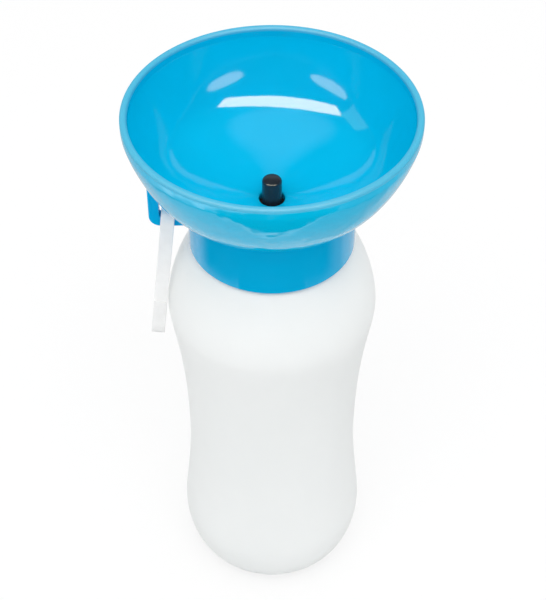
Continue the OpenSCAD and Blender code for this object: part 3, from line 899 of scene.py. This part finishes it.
class WATERBOTTLE_OT_studio(PieceOperator, bpy.types.Operator):
    """Camera, pale floor, soft surroundings and light panels"""

    bl_idname = "water_bottle.studio"
    bl_label = "Studio"

    def build(self):
        self.camera()
        self.floor()
        self.mirrored_floor()
        self.surroundings()
        self.lights()

    def link(self, name, data):
        piece = bpy.data.objects.new(name, data)
        bpy.context.scene.collection.objects.link(piece)
        return piece

    def camera(self):
        data = bpy.data.cameras.new("Product camera")
        data.lens = CAMERA_LENS
        data.sensor_width = 36.0
        data.shift_x = CAMERA_SHIFT
        data.clip_end = 20.0
        camera = self.link("Product camera", data)
        camera.location = CAMERA_PLACE
        camera.rotation_euler = (math.radians(90 - CAMERA_DEGREES_DOWN), 0, 0)
        bpy.context.scene.camera = camera

    def sheet(self, name, radius, height):
        """A flat disc of the stage with an empty node material."""
        bm = bmesh.new()
        bmesh.ops.create_circle(bm, cap_ends=True, segments=96, radius=radius)
        bmesh.ops.translate(bm, verts=bm.verts, vec=(0, 0, height))
        mesh = bpy.data.meshes.new(name)
        bm.to_mesh(mesh)
        bm.free()
        material = bpy.data.materials.new(name)
        material.use_nodes = True
        material.node_tree.nodes.clear()
        mesh.materials.append(material)
        piece = self.link(name, mesh)
        return piece, StageShader(material.node_tree)

    def floor(self):
        """White where it is seen, with the soft shadow kept, and a plain pale bounce elsewhere."""
        _, shader = self.sheet("Studio floor", FLOOR_RADIUS, 0.0)
        bounce = shader.node("ShaderNodeBsdfDiffuse", {"Color": rgba(FLOOR_BOUNCE)})
        shaded = shader.node("ShaderNodeBsdfDiffuse", {"Color": rgba(FLOOR_SHADED)})
        white = shader.node("ShaderNodeEmission", {"Strength": FLOOR_WHITE})
        seen = shader.node("ShaderNodeAddShader", {0: shaded.outputs[0], 1: white.outputs[0]})
        shader.finish(shader.node("ShaderNodeMixShader", {
            0: shader.seen_rays(), 1: bounce.outputs[0], 2: seen.outputs[0],
        }))

    def mirrored_floor(self):
        """A glowing sheet that only reflections see, painted as the floor near the bottle: pale, with a
        black card in front.
        """
        sheet, shader = self.sheet("Mirrored floor", MIRROR_RADIUS, MIRROR_HEIGHT)
        place = shader.place("Object")
        across, depth = place["X"], place["Y"]
        slant = shader.plus(shader.times(shader.math("ABSOLUTE", across), CARD_SPREAD), depth)
        card = shader.times(
            shader.soft(slant, *CARD_EDGE), shader.soft(shader.circle(place, CARD_RADIUS), *CARD_END))
        inner, outer = (shader.circle(place, radius) for radius in BELT_RADII)
        belt = shader.times(shader.soft(inner, *BELT_INSIDE), shader.soft(outer, *BELT_OUTSIDE))
        side = shader.plus(shader.times(across, BELT_SLANT), depth)
        belt = shader.times(belt, shader.soft(side, *BELT_END))
        black = shader.math("MAXIMUM", card, belt)
        right = shader.times(shader.soft(across, *TONE_ACROSS), shader.soft(depth, *TONE_DEPTH))
        pale = shader.plus(
            shader.soft(right, 0.0, 1.0, *MIRROR_TONES),
            shader.soft(slant, *CARD_PALE_EDGE, 0.0, CARD_PALE))
        near = shader.times(pale, shader.math("SUBTRACT", 1.0, black))
        far = shader.circle(place, FAR_RADIUS, FAR_CENTRE)
        far = shader.times(shader.soft(far, *FAR_START, 0.0, FAR_GLOW), shader.soft(depth, *FAR_DEPTH))
        clear = shader.node("ShaderNodeBsdfTransparent")
        shine = shader.node("ShaderNodeEmission", {"Strength": shader.plus(near, far)})
        shader.finish(shader.node("ShaderNodeMixShader", {
            0: shader.soft(shader.circle(place, MIRROR_RADIUS), *MIRROR_END),
            1: clear.outputs[0], 2: shine.outputs[0],
        }))
        sheet.visible_camera = sheet.visible_diffuse = sheet.visible_shadow = False
        sheet.visible_transmission = sheet.visible_volume_scatter = False

    def surroundings(self):
        """White to the camera; in reflections a dim room with a white backdrop behind; soft light."""
        world = bpy.data.worlds.new("Soft studio")
        bpy.context.scene.world = world
        world.use_nodes = True
        world.node_tree.nodes.clear()
        shader = StageShader(world.node_tree)
        way = shader.place("Generated")
        backdrop_top = shader.soft(way["Y"], *BACKDROP_SLOPE, 0.0, BACKDROP_RISE)
        over = shader.math("SUBTRACT", way["Z"], backdrop_top)
        backdrop = shader.soft(over, *BACKDROP_EDGE, BACKDROP, ROOM)
        glow = shader.soft(shader.ellipse(way, GLOW_REACH, GLOW_CENTRE), *GLOW_EDGE, 0.0, GLOW)
        glow = shader.times(glow, shader.soft(way["Z"], *GLOW_HEIGHT))
        room = shader.math("MAXIMUM", backdrop, glow)
        light = shader.node("ShaderNodeMix", {0: shader.seen_rays(camera=False), 2: AMBIENT, 3: room})
        path = shader.node("ShaderNodeLightPath").outputs
        strength = shader.node("ShaderNodeMix", {0: path["Is Camera Ray"], 2: light.outputs[0], 3: HORIZON})
        shader.finish(shader.node("ShaderNodeBackground", {
            "Color": (1, 1, 1, 1), "Strength": strength.outputs[0],
        }), "ShaderNodeOutputWorld")

    def lights(self):
        """Soft boxes that light the bottle, and panels that only its reflections show."""
        for name, shape, place, size, radiance, tint, shares in LIGHT_PANELS:
            data = bpy.data.lights.new(name, "AREA")
            data.shape = shape
            data.size, data.size_y = size
            data.energy = radiance * math.pi * size[0] * size[1]
            data.color = tint
            lamp = self.link(name, data)
            lamp.location = place
            aim = Vector(BOWL_CENTRE) - Vector(place)
            lamp.rotation_euler = aim.to_track_quat("-Z", "Y").to_euler()
            lamp.visible_camera = False
            lamp.visible_glossy = bool(shares)
            lamp.visible_diffuse = not shares
            if shares:
                self.fade(data, shares)

    def fade(self, data, shares):
        """Gives a lamp its share of strength in each reflection in turn."""
        data.use_nodes = True
        shader = StageShader(data.node_tree)
        depth = shader.node("ShaderNodeLightPath").outputs["Ray Depth"]
        strength = 0.0
        # Rays reach a lamp with a depth of 2 after one reflection, of 3 after two, and so on
        for i, (share, following) in enumerate(zip(shares, shares[1:] + (0.0,))):
            near = shader.math("LESS_THAN", depth, i + 2.5)
            strength = shader.plus(shader.times(near, share - following), strength)
        shader.tree.links.new(strength, shader.tree.nodes["Emission"].inputs["Strength"])


# Panel and registration ----------------------------------------------------------------------

OPERATORS = (
    WATERBOTTLE_OT_squeeze_bottle,
    WATERBOTTLE_OT_collar,
    WATERBOTTLE_OT_bowl,
    WATERBOTTLE_OT_valve_stem,
    WATERBOTTLE_OT_hook,
    WATERBOTTLE_OT_strap,
    WATERBOTTLE_OT_inner_parts,
    WATERBOTTLE_OT_studio,
)


class WATERBOTTLE_PT_panel(bpy.types.Panel):
    """Sizes, colours and building steps of the water bottle"""

    bl_label = "Dog Travel Water Bottle"
    bl_idname = "WATERBOTTLE_PT_panel"
    bl_space_type = "VIEW_3D"
    bl_region_type = "UI"
    bl_category = "Water Bottle"

    def draw(self, context):
        settings = context.scene.water_bottle
        for group in ("bottle", "thread", "bowl", "stem", "strap", "finish"):
            sizes = getattr(settings, group)
            box = self.layout.box()
            box.label(text=group.capitalize())
            for prop in sizes.bl_rna.properties:
                if prop.identifier not in {"rna_type", "name"}:
                    box.prop(sizes, prop.identifier)
        for operator in OPERATORS:
            self.layout.operator(operator.bl_idname)


CLASSES = (
    SqueezeBottleSizes,
    ThreadSizes,
    DrinkingBowlSizes,
    ValveStemSizes,
    StrapSizes,
    Finishes,
    WaterBottleSettings,
    *OPERATORS,
    WATERBOTTLE_PT_panel,
)


def register():
    for cls in CLASSES:
        bpy.utils.register_class(cls)
    bpy.types.Scene.water_bottle = PointerProperty(type=WaterBottleSettings)


def unregister():
    del bpy.types.Scene.water_bottle
    for cls in reversed(CLASSES):
        bpy.utils.unregister_class(cls)


def main():
    register()
    bpy.context.scene.view_settings.view_transform = "Standard"
    for operator in OPERATORS:
        category, name = operator.bl_idname.split(".")
        getattr(getattr(bpy.ops, category), name)()


if __name__ == "__main__":
    main()
